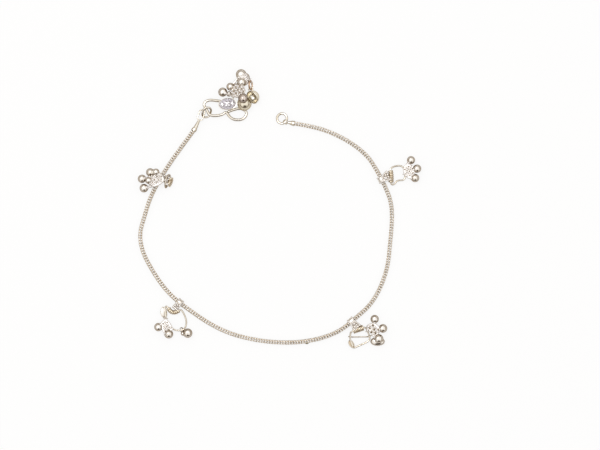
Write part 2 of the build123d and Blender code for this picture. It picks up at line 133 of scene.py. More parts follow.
tent_links.new(tent_room.outputs["Result"], tent_light.inputs["Color"])
tent_links.new(tent_light.outputs["Background"], tent_out.inputs["Surface"])

lamp_data = bpy.data.lights.new("soft_lamp", "AREA")
lamp_data.shape = "DISK"
lamp_data.size = 0.26
lamp_data.energy = 1.1
lamp = bpy.data.objects.new("soft_lamp", lamp_data)
lamp.location = (-0.16, 0.20, 0.72)
lamp.rotation_euler = Vector(lamp.location).to_track_quat("Z", "Y").to_euler()
bpy.context.scene.collection.objects.link(lamp)
bpy.context.scene.view_settings.view_transform = "Standard"


# ---- the chain ----
# Loop-in-loop chain of fine silver wire: each link is a soldered loop, pinched, folded in two and passed
# through both eyes of the link before it. Two such rows, a quarter turn apart, make the round chain. A dark
# drop of solder sits where it was once mended.
outline_middle = (-0.000175, 0.000366)
chain_route = [
    (0.0046, 0.0326, 0.00100), (0.0117, 0.0315, 0.00090), (0.0194, 0.0291, 0.00082),
    (0.0270, 0.0251, 0.00082), (0.0329, 0.0203, 0.00095), (0.0363, 0.0150, 0.00125),
    (0.0393, 0.0092, 0.00125), (0.0418, 0.0030, 0.00095), (0.0421, -0.0042, 0.00082),
    (0.0413, -0.0125, 0.00082), (0.0406, -0.0204, 0.00082), (0.0381, -0.0285, 0.00082),
    (0.0340, -0.0356, 0.00095), (0.0285, -0.0404, 0.00125), (0.0229, -0.0452, 0.00125),
    (0.0156, -0.0482, 0.00095), (0.0070, -0.0497, 0.00082), (-0.0020, -0.0497, 0.00082),
    (-0.0109, -0.0485, 0.00082), (-0.0194, -0.0462, 0.00082), (-0.0266, -0.0426, 0.00095),
    (-0.0332, -0.0381, 0.00125), (-0.0393, -0.0336, 0.00125), (-0.0441, -0.0285, 0.00095),
    (-0.0483, -0.0221, 0.00082), (-0.0517, -0.0156, 0.00082), (-0.0528, -0.0089, 0.00082),
    (-0.0508, -0.0021, 0.00082), (-0.0487, 0.0047, 0.00095), (-0.0458, 0.0102, 0.00125),
    (-0.0423, 0.0161, 0.00125), (-0.0372, 0.0233, 0.00095), (-0.0342, 0.0273, 0.00110),
    (-0.0320, 0.0304, 0.00125),
]
link_wire = 0.00033
link_pitch = 0.00099
fold_height = 0.000635
eye_height = 0.00034
fold_bend = 0.00025
eye_front = 0.00131
waist = link_wire * 0.54
eye_half = 0.00048
link_sides = 5


def smooth_route(name, points):
    """Points along one smooth curve that has these as its control points."""
    curve = bpy.data.curves.new(name, "CURVE")
    curve.dimensions = "3D"
    curve.resolution_u = 24
    spline = curve.splines.new("NURBS")
    spline.points.add(len(points) - 1)
    for point, place in zip(spline.points, points):
        point.co = (place[0] - outline_middle[0], place[1] - outline_middle[1], place[2], 1)
    spline.order_u = 3
    spline.use_endpoint_u = True
    holder = bpy.data.objects.new(name, curve)
    bpy.context.scene.collection.objects.link(holder)
    line = bpy.data.meshes.new_from_object(holder)
    places = np.array([v.co[:] for v in line.vertices])
    bpy.data.objects.remove(holder)
    bpy.data.meshes.remove(line)
    return places


def folded_link():
    """One link's wire as points and faces, and which faces are its eyes, ahead of its fold at x = 0."""
    rise = fold_height - fold_bend
    turn = fold_bend * math.pi / 2
    leg = eye_front - fold_bend
    reach = rise + turn + math.hypot(leg, fold_height - eye_height)

    def fold(u):
        a = abs(u)
        sign = 1 if u > 0 else -1
        if a <= rise:
            return 0.0, a * sign
        if a <= rise + turn:
            angle = (a - rise) / fold_bend
            return fold_bend * (1 - math.cos(angle)), (rise + fold_bend * math.sin(angle)) * sign
        f = (a - rise - turn) / (reach - rise - turn)
        return fold_bend + leg * f, (fold_height - (fold_height - eye_height) * f ** 1.2) * sign

    def half_width(u):
        a = abs(u) / reach
        f = min(max((a - 0.57) / 0.18, 0), 1)
        width = waist + (eye_half - waist) * f * f * (3 - 2 * f)
        if a > 0.82:
            width *= math.sqrt(max(0, 1 - ((a - 0.82) / 0.18) ** 2))
        return width

    stops = [0.24, 0.36, 0.47, 0.60, 0.68, 0.76, 0.88, 0.95]
    path = [reach * s for s in stops]
    loop = [(-u, 1) for u in reversed(path)] + [(u, 1) for u in path] + [(reach, 0)]
    loop += [(u, -1) for u in reversed(path)] + [(-u, -1) for u in path] + [(-reach, 0)]
    centres = []
    normals = []
    for u, side in loop:
        x, z = fold(u)
        ahead = fold(u + 1e-6)
        behind = fold(u - 1e-6)
        along = Vector((ahead[0] - behind[0], 0, ahead[1] - behind[1])).normalized()
        centres.append(Vector((x, side * half_width(u), z)))
        normals.append(along.cross(Vector((0, 1, 0))))
    points = []
    faces = []
    count = len(loop)
    for i in range(count):
        tangent = (centres[(i + 1) % count] - centres[i - 1]).normalized()
        out = normals[i]
        across = tangent.cross(out).normalized()
        for k in range(link_sides):
            angle = math.tau * k / link_sides
            points.append(centres[i] + (out * math.cos(angle) + across * math.sin(angle)) * link_wire / 2)
            after = (i + 1) % count * link_sides
            n = (k + 1) % link_sides
            faces.append((i * link_sides + k, i * link_sides + n, after + n, after + k))
    in_eye = np.repeat([int(abs(u) > 0.64 * reach) for u, side in loop], link_sides)
    return np.array([p[:] for p in points]), np.array(faces), in_eye


def along_route(places, local):
    """Carries points (distance along, sideways, up) onto a route."""
    steps = np.linalg.norm(np.diff(places, axis=0), axis=1)
    run = np.concatenate([[0], np.cumsum(steps)])
    heading = np.gradient(places, run, axis=0)
    spot = np.stack([np.interp(local[:, 0], run, places[:, k]) for k in range(3)], axis=1)
    forward = np.stack([np.interp(local[:, 0], run, heading[:, k]) for k in range(3)], axis=1)
    forward /= np.linalg.norm(forward, axis=1)[:, None]
    sideways = np.cross(np.array([0.0, 0.0, 1.0]), forward)
    sideways /= np.linalg.norm(sideways, axis=1)[:, None]
    upward = np.cross(forward, sideways)
    return spot + sideways * local[:, 1:2] + upward * local[:, 2:3]


def mesh_piece(name, points, faces):
    mesh = bpy.data.meshes.new(name)
    mesh.from_pydata([tuple(p) for p in points], [], [tuple(f) for f in faces])
    mesh.validate()
    mesh.shade_smooth()
    piece = bpy.data.objects.new(name, mesh)
    bpy.context.scene.collection.objects.link(piece)
    return piece


def silver(name, bright, dull, roughness, tarnish_and_shade, hollow_reach=0.0006, deep=(0.75, 0.25), painted_flank_shade=0.0,
           cloud=420.0, scratch=0.25):
    """Silver with a random tone and brown patina in its hollows, and painted shade in brown where it turns to
    the side, so only what faces up stays bright.
    """
    material = bpy.data.materials.new(name)
    material.use_nodes = True
    nodes = material.node_tree.nodes
    links = material.node_tree.links
    shader = nodes["Principled BSDF"]
    shader.inputs["Metallic"].default_value = 1.0
    shader.inputs["Specular Tint"].default_value = (0.45, 0.36, 0.24, 1)
    place = nodes.new("ShaderNodeTexCoord")
    clouds = nodes.new("ShaderNodeTexNoise")
    clouds.inputs["Scale"].default_value = cloud
    clouds.inputs["Detail"].default_value = 4
    links.new(place.outputs["Object"], clouds.inputs["Vector"])
    tone = nodes.new("ShaderNodeValToRGB")
    tone.color_ramp.elements[0].position = 0.34
    tone.color_ramp.elements[0].color = (*dull, 1)
    tone.color_ramp.elements[1].position = 0.58
    tone.color_ramp.elements[1].color = (*bright, 1)
    links.new(clouds.outputs["Fac"], tone.inputs["Fac"])

    hollow = nodes.new("ShaderNodeAmbientOcclusion")
    hollow.samples = 6
    hollow.inputs["Distance"].default_value = hollow_reach
    depth = nodes.new("ShaderNodeMapRange")
    depth.inputs["From Min"].default_value = deep[0]
    depth.inputs["From Max"].default_value = deep[1]
    links.new(hollow.outputs["AO"], depth.inputs["Value"])
    # Painted shade: the colour goes to the brown as the surface turns from facing up to facing sideways,
    # standing in for dark edges; each material gives the most it may darken.
    surface = nodes.new("ShaderNodeNewGeometry")
    facing = nodes.new("ShaderNodeSeparateXYZ")
    flank_shade_mask = nodes.new("ShaderNodeMapRange")
    flank_shade_mask.interpolation_type = "SMOOTHSTEP"
    flank_shade_mask.inputs["From Min"].default_value = 0.93
    flank_shade_mask.inputs["From Max"].default_value = 0.33
    flank_shade_mask.inputs["To Max"].default_value = painted_flank_shade
    links.new(surface.outputs["Normal"], facing.inputs["Vector"])
    links.new(facing.outputs["Z"], flank_shade_mask.inputs["Value"])
    # The brown patina of the hollows and the painted shade of the sides are joined, taking the stronger.
    patina_and_painted_shade = nodes.new("ShaderNodeMath")
    patina_and_painted_shade.operation = "MAXIMUM"
    links.new(depth.outputs["Result"], patina_and_painted_shade.inputs[0])
    links.new(flank_shade_mask.outputs["Result"], patina_and_painted_shade.inputs[1])
    brown = nodes.new("ShaderNodeMix")
    brown.data_type = "RGBA"
    brown.inputs["B"].default_value = (*tarnish_and_shade, 1)
    links.new(patina_and_painted_shade.outputs[0], brown.inputs["Factor"])
    links.new(tone.outputs["Color"], brown.inputs["A"])
    links.new(brown.outputs["Result"], shader.inputs["Base Color"])

    wear = nodes.new("ShaderNodeTexNoise")
    wear.inputs["Scale"].default_value = cloud * 3
    wear.inputs["Detail"].default_value = 3
    links.new(place.outputs["Object"], wear.inputs["Vector"])
    dullness = nodes.new("ShaderNodeMapRange")
    dullness.inputs["From Min"].default_value = 0.3
    dullness.inputs["From Max"].default_value = 0.7
    dullness.inputs["To Min"].default_value = roughness
    dullness.inputs["To Max"].default_value = roughness + 0.12
    links.new(wear.outputs["Fac"], dullness.inputs["Value"])
    links.new(dullness.outputs["Result"], shader.inputs["Roughness"])

    grain = nodes.new("ShaderNodeTexNoise")
    grain.inputs["Scale"].default_value = cloud * 9
    grain.inputs["Detail"].default_value = 2
    links.new(place.outputs["Object"], grain.inputs["Vector"])
    dents = nodes.new("ShaderNodeBump")
    dents.inputs["Strength"].default_value = scratch
    dents.inputs["Distance"].default_value = 0.00002
    links.new(grain.outputs["Fac"], dents.inputs["Height"])
    links.new(dents.outputs["Normal"], shader.inputs["Normal"])
    return material


route = smooth_route("chain_route", chain_route)
chain_length = np.linalg.norm(np.diff(route, axis=0), axis=1).sum()
link_points, link_faces, link_eyes = folded_link()
links_in_row = round((chain_length - eye_front) / link_pitch)
pitch = (chain_length - eye_front) / (links_in_row - 0.5)
hand = np.random.default_rng(7)
points = []
faces = []
for i in range(links_in_row):
    for row in (0, 1):
        lean = hand.normal(0, 0.05) + 0.25 * math.sin(i * 0.045) + row * math.pi / 2
        start = (i + row / 2) * pitch
        turned = link_points.copy()
        turned[:, 0] += start
        turned[:, 1] = link_points[:, 1] * math.cos(lean) - link_points[:, 2] * math.sin(lean)
        turned[:, 2] = link_points[:, 1] * math.sin(lean) + link_points[:, 2] * math.cos(lean)
        faces.append(link_faces + len(points) * len(link_points))
        points.append(turned)
mend_run = 0.1189
mend_half_length = 0.0007
mend_radius = 0.0005
mend_sideways = 0.00068
mend_up = 0.0001
mend_rows = 8
mend_sides = 12
mend_spots = []
mend_faces = []
for i in range(mend_rows + 1):
    rise = math.pi * i / mend_rows
    for k in range(mend_sides):
        turn = math.tau * k / mend_sides
        mend_spots.append((mend_run + mend_half_length * math.sin(rise) * math.cos(turn),
                           mend_sideways + mend_radius * math.sin(rise) * math.sin(turn),
                           mend_up - mend_radius * math.cos(rise)))
        if i:
            first = (i - 1) * mend_sides
            after = (k + 1) % mend_sides
            mend_faces.append((first + k, first + after, first + mend_sides + after, first + mend_sides + k))
mend_faces = np.array(mend_faces) + len(points) * len(link_points)
points.append(np.array(mend_spots))
faces.append(mend_faces)
chain_links = mesh_piece("chain_links", along_route(route, np.concatenate(points)), np.concatenate(faces))
# Row 0's folds stay bright. Its eyes, where the next link passes through, are painted brown as shade between
# the links, and row 1, along the chain's sides, gets painted shade where its wire turns to the side.
fold_silver = silver("fold_silver", (1.0, 0.98, 0.95), (0.99, 0.97, 0.93), 0.30, (0.60, 0.50, 0.38),
                     hollow_reach=0.0003, deep=(0.25, 0.05))
eye_painted_shade = silver("eye_painted_shade", (0.70, 0.56, 0.40), (0.57, 0.44, 0.29), 0.30, (0.34, 0.24, 0.14),
                   hollow_reach=0.0003, deep=(0.4, 0.05))
side_painted_shade_silver = silver("side_painted_shade_silver", (1.0, 0.98, 0.93), (0.98, 0.94, 0.86), 0.30, (0.42, 0.31, 0.19),
                     hollow_reach=0.0003, deep=(0.25, 0.05), painted_flank_shade=0.85)
mend_solder = silver("mend_solder", (0.42, 0.36, 0.24), (0.30, 0.25, 0.16), 0.38, (0.16, 0.12, 0.07),
                     painted_flank_shade=0.6)
for finish in (fold_silver, eye_painted_shade, side_painted_shade_silver, mend_solder):
    chain_links.data.materials.append(finish)
link_finish = np.concatenate([link_eyes, np.full_like(link_eyes, 2)])
face_finishes = np.concatenate([np.tile(link_finish, links_in_row), np.full(len(mend_faces), 3)])
chain_links.data.polygons.foreach_set("material_index", face_finishes)
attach(chain_links, "root")
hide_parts("chain")


# ---- end ring, caps and jump rings ----
# Drawn silver wire, bent round a rod and soldered shut, and tapered caps of thin sheet whose rolled mouths
# are soldered over the chain's two ends. All of it is tumbled bright, with a warm brown patina in its hollows
# and painted shade in brown where its surface turns to the side.
def place(x, y, z=0.0):
    """A spot of the anklet's layout in millimetres, with its chain's outline about the middle."""
    return Vector((x / 1000 - outline_middle[0], y / 1000 - outline_middle[1], z / 1000))


def new_form():
    """A piece in the making: its points, its faces and each face's finish."""
    return [], [], []


def add_faces(form, points, faces, finish=0):
    base = len(form[0])
    form[0].extend(tuple(point) for point in points)
    form[1].extend(tuple(base + corner for corner in face) for face in faces)
    form[2].extend([finish] * len(faces))


def add_skin(form, rows, finish=0, loop=False):
    """Skins rings of points one after another; a loop joins the last ring to the first."""
    size = len(rows[0])
    count = len(rows)
    faces = []
    for i in range(count if loop else count - 1):
        first = i * size
        after = (i + 1) % count * size
        faces += [(first + k, first + (k + 1) % size, after + (k + 1) % size, after + k) for k in range(size)]
    if not loop:
        faces += [tuple(range(size)), tuple(range((count - 1) * size, count * size))]
    add_faces(form, [point for row in rows for point in row], faces, finish)


def add_turned(form, path, radii, finish=0, sides=14):
    """A round form along a path, with a radius for each of its spots."""
    side = (path[1] - path[0]).orthogonal().normalized()
    rings = []
    for i, (spot, radius) in enumerate(zip(path, radii)):
        ahead = path[min(i + 1, len(path) - 1)] - path[max(i - 1, 0)]
        if ahead.length > 1e-9:
            ahead.normalize()
            side = (side - ahead * side.dot(ahead)).normalized()
            up = ahead.cross(side)
        turns = [math.tau * k / sides for k in range(sides)]
        rings.append([spot + (side * math.cos(a) + up * math.sin(a)) * radius for a in turns])
    add_skin(form, rings, finish)


def add_link(form, centre, long_way, face_way, length, width, wire):
    """Closed link of round wire with half-round ends; a round ring is as long as it is wide."""
    face_way = Vector(face_way).normalized()
    long_way = Vector(long_way)
    long_way = (long_way - face_way * long_way.dot(face_way)).normalized()
    cross_way = face_way.cross(long_way)
    spots_in_half = 25 if length > width else 24
    rings = []
    for end in (1, -1):
        for k in range(spots_in_half):
            turn = math.pi * k / 24
            out = (long_way * math.sin(turn) + cross_way * math.cos(turn)) * end
            spot = centre + long_way * (end * (length - width) / 2) + out * ((width - wire) / 2)
            rings.append([spot + (out * math.cos(a) + face_way * math.sin(a)) * wire / 2
                          for a in (math.tau * j / 16 for j in range(16))])
    add_skin(form, rings, loop=True)


cap_mouth_profile = [
    (-0.50, 0.73), (-0.36, 0.83), (-0.10, 0.90), (0.45, 0.92), (0.55, 0.95), (0.68, 0.97),
    (0.81, 0.95), (0.88, 0.90), (0.86, 0.83), (0.0, 0.83), (-0.2, 0.80),
]
cap_sides = 28


def add_cap_mouth(form, line):
    """The cap's rolled mouth, in which the chain's end sits; line is the chain's route from that end."""
    end = Vector(line[0])
    inward = (Vector(line[8]) - end).normalized()
    side = inward.orthogonal().normalized()
    up = inward.cross(side)
    rings = []
    for distance, radius in cap_mouth_profile:
        middle = end + inward * (distance / 1000)
        rings.append([middle + (side * math.cos(a) + up * math.sin(a)) * (radius / 1000)
                      for a in (math.tau * k / cap_sides for k in range(cap_sides))])
    add_skin(form, rings, loop=True)


def make_piece(name, form, finishes, node):
    piece = mesh_piece(name, form[0], form[1])
    for finish in finishes:
        piece.data.materials.append(finish)
    piece.data.polygons.foreach_set("material_index", form[2])
    outward = bmesh.new()
    outward.from_mesh(piece.data)
    bmesh.ops.recalc_face_normals(outward, faces=outward.faces)
    outward.to_mesh(piece.data)
    outward.free()
    piece.data.set_sharp_from_angle(angle=math.radians(40))
    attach(piece, "root")
    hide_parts(node)


wire_silver = silver("wire_silver", (0.92, 0.88, 0.80), (0.74, 0.67, 0.55), 0.16, (0.34, 0.26, 0.15),
                     hollow_reach=0.0004, painted_flank_shade=0.85)
ring_copper = silver("ring_copper", (0.84, 0.66, 0.50), (0.66, 0.46, 0.30), 0.16, (0.32, 0.18, 0.09),
                     painted_flank_shade=0.7)
ring_lean = math.radians(10.5)
top_lean = math.radians(70)
round_rings = {
    "end_ring": ((0.75, 34.35, 0.77), (-math.sin(ring_lean), 0, math.cos(ring_lean)), 4.6, 0.85, wire_silver),
    "cluster_ring": ((-14.9, 44.3, 2.1), (0, 0, 1), 3.6, 0.6, wire_silver),
    "top_ring": ((-11.0, 46.8, 2.0), (math.sin(top_lean), 0, math.cos(top_lean)), 3.8, 0.6, ring_copper),
}
for node, (centre, facing, across, wire, finish) in round_rings.items():
    form = new_form()
    long_way = Vector(facing).orthogonal()
    add_link(form, place(*centre), long_way, facing, across / 1000, across / 1000, wire / 1000)
    make_piece(node + "_wire", form, (finish,), node)

jump_ring = new_form()
add_link(jump_ring, place(-27.5, 36.6, 1.48), (0.3, 0.95, 0.475), (0.35, -0.61, 1.0), 0.0049, 0.0038, 0.0007)
make_piece("jump_ring", jump_ring, (wire_silver,), "clasp_jump_ring")

ring_cap = new_form()
band_way = Vector((1, 1, 0.14)).normalized()
band_side = Vector((1, -1, 0)).normalized()
band_up = band_way.cross(band_side)
band_middle = place(2.054, 33.02, 1.01)
band_rings = []
for along, radius in ((-0.50, 0.625), (-0.55, 0.68), (-0.55, 0.88), (-0.50, 0.925),
                      (0.50, 0.925), (0.55, 0.88), (0.55, 0.68), (0.50, 0.625)):
    band_rings.append([band_middle + band_way * (along / 1000)
                       + (band_side * math.cos(a) + band_up * math.sin(a)) * (radius / 1000)
                       for a in (math.tau * k / 36 for k in range(36))])
add_skin(ring_cap, band_rings, loop=True)
ring_mouth = Vector(route[0]) - (Vector(route[8]) - Vector(route[0])).normalized() * 0.0002
ring_neck = place(2.95, 32.86, 1.01)
ring_taper = [ring_neck, ring_neck.lerp(ring_mouth, 0.5), ring_mouth]
add_turned(ring_cap, ring_taper, [0.00045, 0.00060, 0.00078], sides=cap_sides)
add_cap_mouth(ring_cap, route)
make_piece("ring_cap", ring_cap, (wire_silver,), "ring_end_cap")

clasp_cap = new_form()
loop_centre = place(-29.55, 35.6, 1.8)
loop_way = Vector((0.35, 0.937, -0.09)).normalized()
add_link(clasp_cap, loop_centre, loop_way, (0, 0.096, 1), 0.0046, 0.0025, 0.0005)
clasp_mouth = Vector(route[-1]) + (Vector(route[-1]) - Vector(route[-9])).normalized() * 0.00025
clasp_neck = loop_centre - loop_way * 0.00195
clasp_taper = [clasp_mouth, clasp_mouth.lerp(clasp_neck, 0.5), clasp_neck]
add_turned(clasp_cap, clasp_taper, [0.00075, 0.00056, 0.0004], sides=cap_sides)
add_cap_mouth(clasp_cap, route[::-1])
make_piece("clasp_cap", clasp_cap, (wire_silver,), "clasp_end_cap")


# ---- the S-hook and its oval plate ----
# One piece of thick wire with an oval of sheet soldered over its middle. The plate is struck from a die: a
# raised border, a flower between two lozenges and small beads round them, on a stippled grey ground.
hook_wire = 0.00050
hook_path = [
    (-20.6, 40.5), (-23.3, 40.95), (-27.1, 41.35), (-29.0, 39.7), (-27.5, 37.6), (-26.5, 35.2),
    (-21.9, 35.5), (-20.2, 37.0), (-18.9, 34.7), (-16.7, 33.7), (-13.8, 34.0), (-12.3, 36.2),
    (-13.4, 37.7), (-16.0, 38.3), (-19.3, 36.95),
]
hook_height = 0.52
hook_lean = math.radians(4.6)
hook_pivot = -12.2
plate_middle = (-19.8, 39.75)
plate_half = (3.4, 2.25)
plate_level = 1.36
plate_turn = math.radians(6)
border_from = 0.93
border_height = 0.15
flower_reach = 1.2
figure_height = 0.20
bead_count = 26


def lean_hook(x, y, z):
    """The hook's right end lies on the table and its left side is lifted by the jump ring."""
    from_pivot = x - hook_pivot
    return place(hook_pivot + from_pivot * math.cos(hook_lean) + z * math.sin(hook_lean), y,
                 z * math.cos(hook_lean) - from_pivot * math.sin(hook_lean))


def smooth_wire(name, spots):
    """A smooth line in metres whose control points are spots of the layout in metres."""
    middle = Vector((*outline_middle, 0))
    line = smooth_route(name, [Vector(spot) + middle for spot in spots])
    return [Vector(spot) for spot in line[::4]] + [Vector(line[-1])]


def add_wire(form, path, radius, finish=0, sides=14):
    add_turned(form, path, [radius] * len(path), finish, sides)


def add_eye(form, centre, facing, radius=0.0007, wire=0.0002):
    """Small round eye; it faces the way of the wire that it holds."""
    facing = Vector(facing).normalized()
    side = facing.orthogonal().normalized()
    up = facing.cross(side)
    rings = []
    for i in range(28):
        turn = math.tau * i / 28
        out = side * math.cos(turn) + up * math.sin(turn)
        rings.append([centre + out * (radius + wire * math.cos(a)) + facing * (wire * math.sin(a))
                      for a in (math.tau * k / 10 for k in range(10))])
    add_skin(form, rings, loop=True)


def add_ball(form, centre, radius, finish=0, around=12):
    """Round ball; a radius of three numbers makes it longer one way than another."""
    rows = around * 2 // 3
    points = [(0, 0, -1), (0, 0, 1)]
    for i in range(1, rows):
        rise = math.pi * i / rows
        points += [(math.sin(rise) * math.cos(turn), math.sin(rise) * math.sin(turn), -math.cos(rise))
                   for turn in (math.tau * k / around for k in range(around))]
    faces = []
    for k in range(around):
        n = (k + 1) % around
        faces.append((0, 2 + n, 2 + k))
        faces.append((1, 2 + (rows - 2) * around + k, 2 + (rows - 2) * around + n))
        for i in range(rows - 2):
            low = 2 + i * around
            faces.append((low + k, low + n, low + around + n, low + around + k))
    add_faces(form, np.array(points) * radius + np.array(centre), faces, finish)


def struck_height(x, y):
    """Height of the die's relief at a spot of the plate, all in millimetres."""
    edge = math.hypot(x / plate_half[0], y / plate_half[1])
    relief = border_height / (1 + math.exp(-(edge - border_from) / 0.015))
    away = math.hypot(x, y)
    petal = flower_reach * abs(math.sin(2 * math.atan2(y, x))) ** 0.6
    relief += figure_height / (1 + math.exp((away - petal) / 0.05))
    relief += 0.14 * math.exp(-(away / 0.26) ** 2)
    for side in (-1, 1):
        lozenge = abs(x - side * 1.95) / 0.62 + abs(y) / 0.95
        relief += figure_height / (1 + math.exp((lozenge - 1) / 0.07))
    for k in range(bead_count):
        turn = math.tau * k / bead_count
        bead = math.hypot(x - 2.86 * math.cos(turn), y - 1.78 * math.sin(turn))
        relief += 0.12 * math.exp(-(bead / 0.15) ** 2)
    return relief


hook = new_form()
hook_line = smooth_wire("hook_line", [lean_hook(x, y, hook_height) for x, y in hook_path])
add_wire(hook, hook_line, hook_wire, sides=18)
add_ball(hook, hook_line[0], hook_wire, 0, 18)
add_ball(hook, hook_line[-1], hook_wire * 1.04, 0, 18)
stem_foot = place(-18.0, 41.3, 1.5)
stem_top = place(-16.95, 43.1, 2.1)
add_turned(hook, [stem_foot, stem_foot.lerp(stem_top, 0.5), stem_top], [0.00034, 0.00026, 0.0003])
add_eye(hook, place(-16.29, 43.5, 2.1), (0.5, -0.866, 0), 0.0008)

plate_rings = 36
plate_sides = 120
plate_spots = []
plate_faces = []
for i in range(1, plate_rings + 1):
    turns = [math.tau * k / plate_sides for k in range(plate_sides)]
    plate_spots.append([(plate_half[0] * i / plate_rings * math.cos(a),
                         plate_half[1] * i / plate_rings * math.sin(a)) for a in turns])


def on_plate(x, y, height):
    dome = 0.12 * (1 - (x / plate_half[0]) ** 2 - (y / plate_half[1]) ** 2)
    flat_x = plate_middle[0] + x * math.cos(plate_turn) - y * math.sin(plate_turn)
    flat_y = plate_middle[1] + x * math.sin(plate_turn) + y * math.cos(plate_turn)
    return lean_hook(flat_x, flat_y, plate_level + dome + height)


plate_points = [on_plate(x, y, struck_height(x, y)) for row in plate_spots for x, y in row]
plate_points += [on_plate(x, y, -0.34) for x, y in plate_spots[-1]]
for i in range(plate_rings):
    for k in range(plate_sides):
        n = (k + 1) % plate_sides
        low = i * plate_sides
        x, y = plate_spots[min(i + 1, plate_rings - 1)][k]
        edge = math.hypot(x / plate_half[0], y / plate_half[1])
        finish = 0 if edge > border_from else 2 if struck_height(x, y) > 0.07 else 1
        plate_faces.append(((low + k, low + plate_sides + k, low + plate_sides + n, low + n), finish))
plate_faces.append((tuple(range(plate_sides)), 2))
plate_faces.append((tuple(range(plate_rings * plate_sides, (plate_rings + 1) * plate_sides)), 0))
for finish in (0, 1, 2):
    add_faces(hook, plate_points, [face for face, kind in plate_faces if kind == finish], finish)
plate_ground = silver("plate_ground", (0.46, 0.43, 0.46), (0.32, 0.30, 0.32), 0.34, (0.14, 0.12, 0.12),
                      hollow_reach=0.0003, cloud=2600, scratch=0.8)
plate_relief = silver("plate_relief", (0.96, 0.94, 0.96), (0.86, 0.83, 0.86), 0.18, (0.46, 0.40, 0.42),
                      painted_flank_shade=0.4)
make_piece("hook_and_plate", hook, (wire_silver, plate_ground, plate_relief), "s_hook")


# ---- the two small bells ----
# Each bell is raised from thin sheet in two cups. One is closed with a slot and rings, the other has lost its
# lower cup, so its rim and dark inside show. Their thin gilt wash has worn to an olive yellow.
crease_angle = math.radians(35)


def polish(node, material):
    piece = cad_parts[node]
    piece.data.shade_smooth()
    piece.data.set_sharp_from_angle(angle=crease_angle)
    if piece.material_slots:
        piece.material_slots[0].material = material
    else:
        piece.data.materials.append(material)


bell_wash = silver("bell_wash", (0.86, 0.80, 0.66), (0.66, 0.59, 0.44), 0.20, (0.28, 0.21, 0.12),
                   hollow_reach=0.0015, deep=(0.7, 0.2), painted_flank_shade=0.35)
bell_inside = silver("bell_inside", (0.92, 0.88, 0.76), (0.78, 0.70, 0.57), 0.22, (0.52, 0.43, 0.31),
                     hollow_reach=0.0012, deep=(0.6, 0.15), painted_flank_shade=0.3)
polish("bell_a", bell_wash)
polish("bell_b", bell_inside)


# ---- straps and barrels of the drops ----
# A strip of sheet is folded round the chain and soldered to a ribbed barrel, which was turned and browned.
# Beads of shot run along the strip's edges, with a small flower of shot in its middle.
strap_rows = {
    "bail_1": dict(run=29, part=0.4, side=1, width=2.0, flare=0.6, bow=0.35, radius=1.0,
                   barrel=((-41.1, 12.1), (-42.1, 9.2)), bead=(-42.45, 9.7, 1.95)),
    "bail_2": dict(run=21, part=0.74, side=-1, width=2.0, flare=0.1, bow=1.2, radius=0.8,
                   barrel=((-41.93, -36.75), (-37.9, -37.6)), bead=None),
    "bail_3": dict(run=13, part=0.3, side=-1, width=2.2, flare=0.5, bow=0.0, radius=1.05,
                   barrel=((27.4, -45.4), (31.3, -44.1)), bead=None),
    "bail_4": dict(run=5, part=0.6, side=-1, width=2.2, flare=0.8, bow=0.2, radius=0.9,
                   barrel=((41.4, 14.8), (41.6, 10.3)), bead=(39.6, 11.9, 1.95)),
}
strap_height = 1.25
sheet_thick = 0.0003
strap_wrap = 0.00122
bore_radius = 0.00042
rib_pitch = 0.00062
barrel_sides = 28
crown_height = 0.00014
edge_shot = 0.00032
petal_shot = 0.00042
row_shot = 0.00046
middle_shot = 0.0005
bead_shot = 0.00078
barrel_lines = {}
strap_silver = silver("strap_silver", (0.96, 0.93, 0.88), (0.80, 0.74, 0.66), 0.24, (0.40, 0.32, 0.23),
                      hollow_reach=0.0005, deep=(0.6, 0.15), painted_flank_shade=0.4)
strap_shot = silver("strap_shot", (1.0, 0.98, 0.96), (0.94, 0.91, 0.87), 0.20, (0.48, 0.39, 0.29),
                    hollow_reach=0.0003, deep=(0.65, 0.2), painted_flank_shade=0.55)
barrel_brown = silver("barrel_brown", (0.88, 0.80, 0.65), (0.64, 0.53, 0.38), 0.24, (0.32, 0.22, 0.12),
                      hollow_reach=0.0004, deep=(0.65, 0.2), painted_flank_shade=0.5, cloud=900)
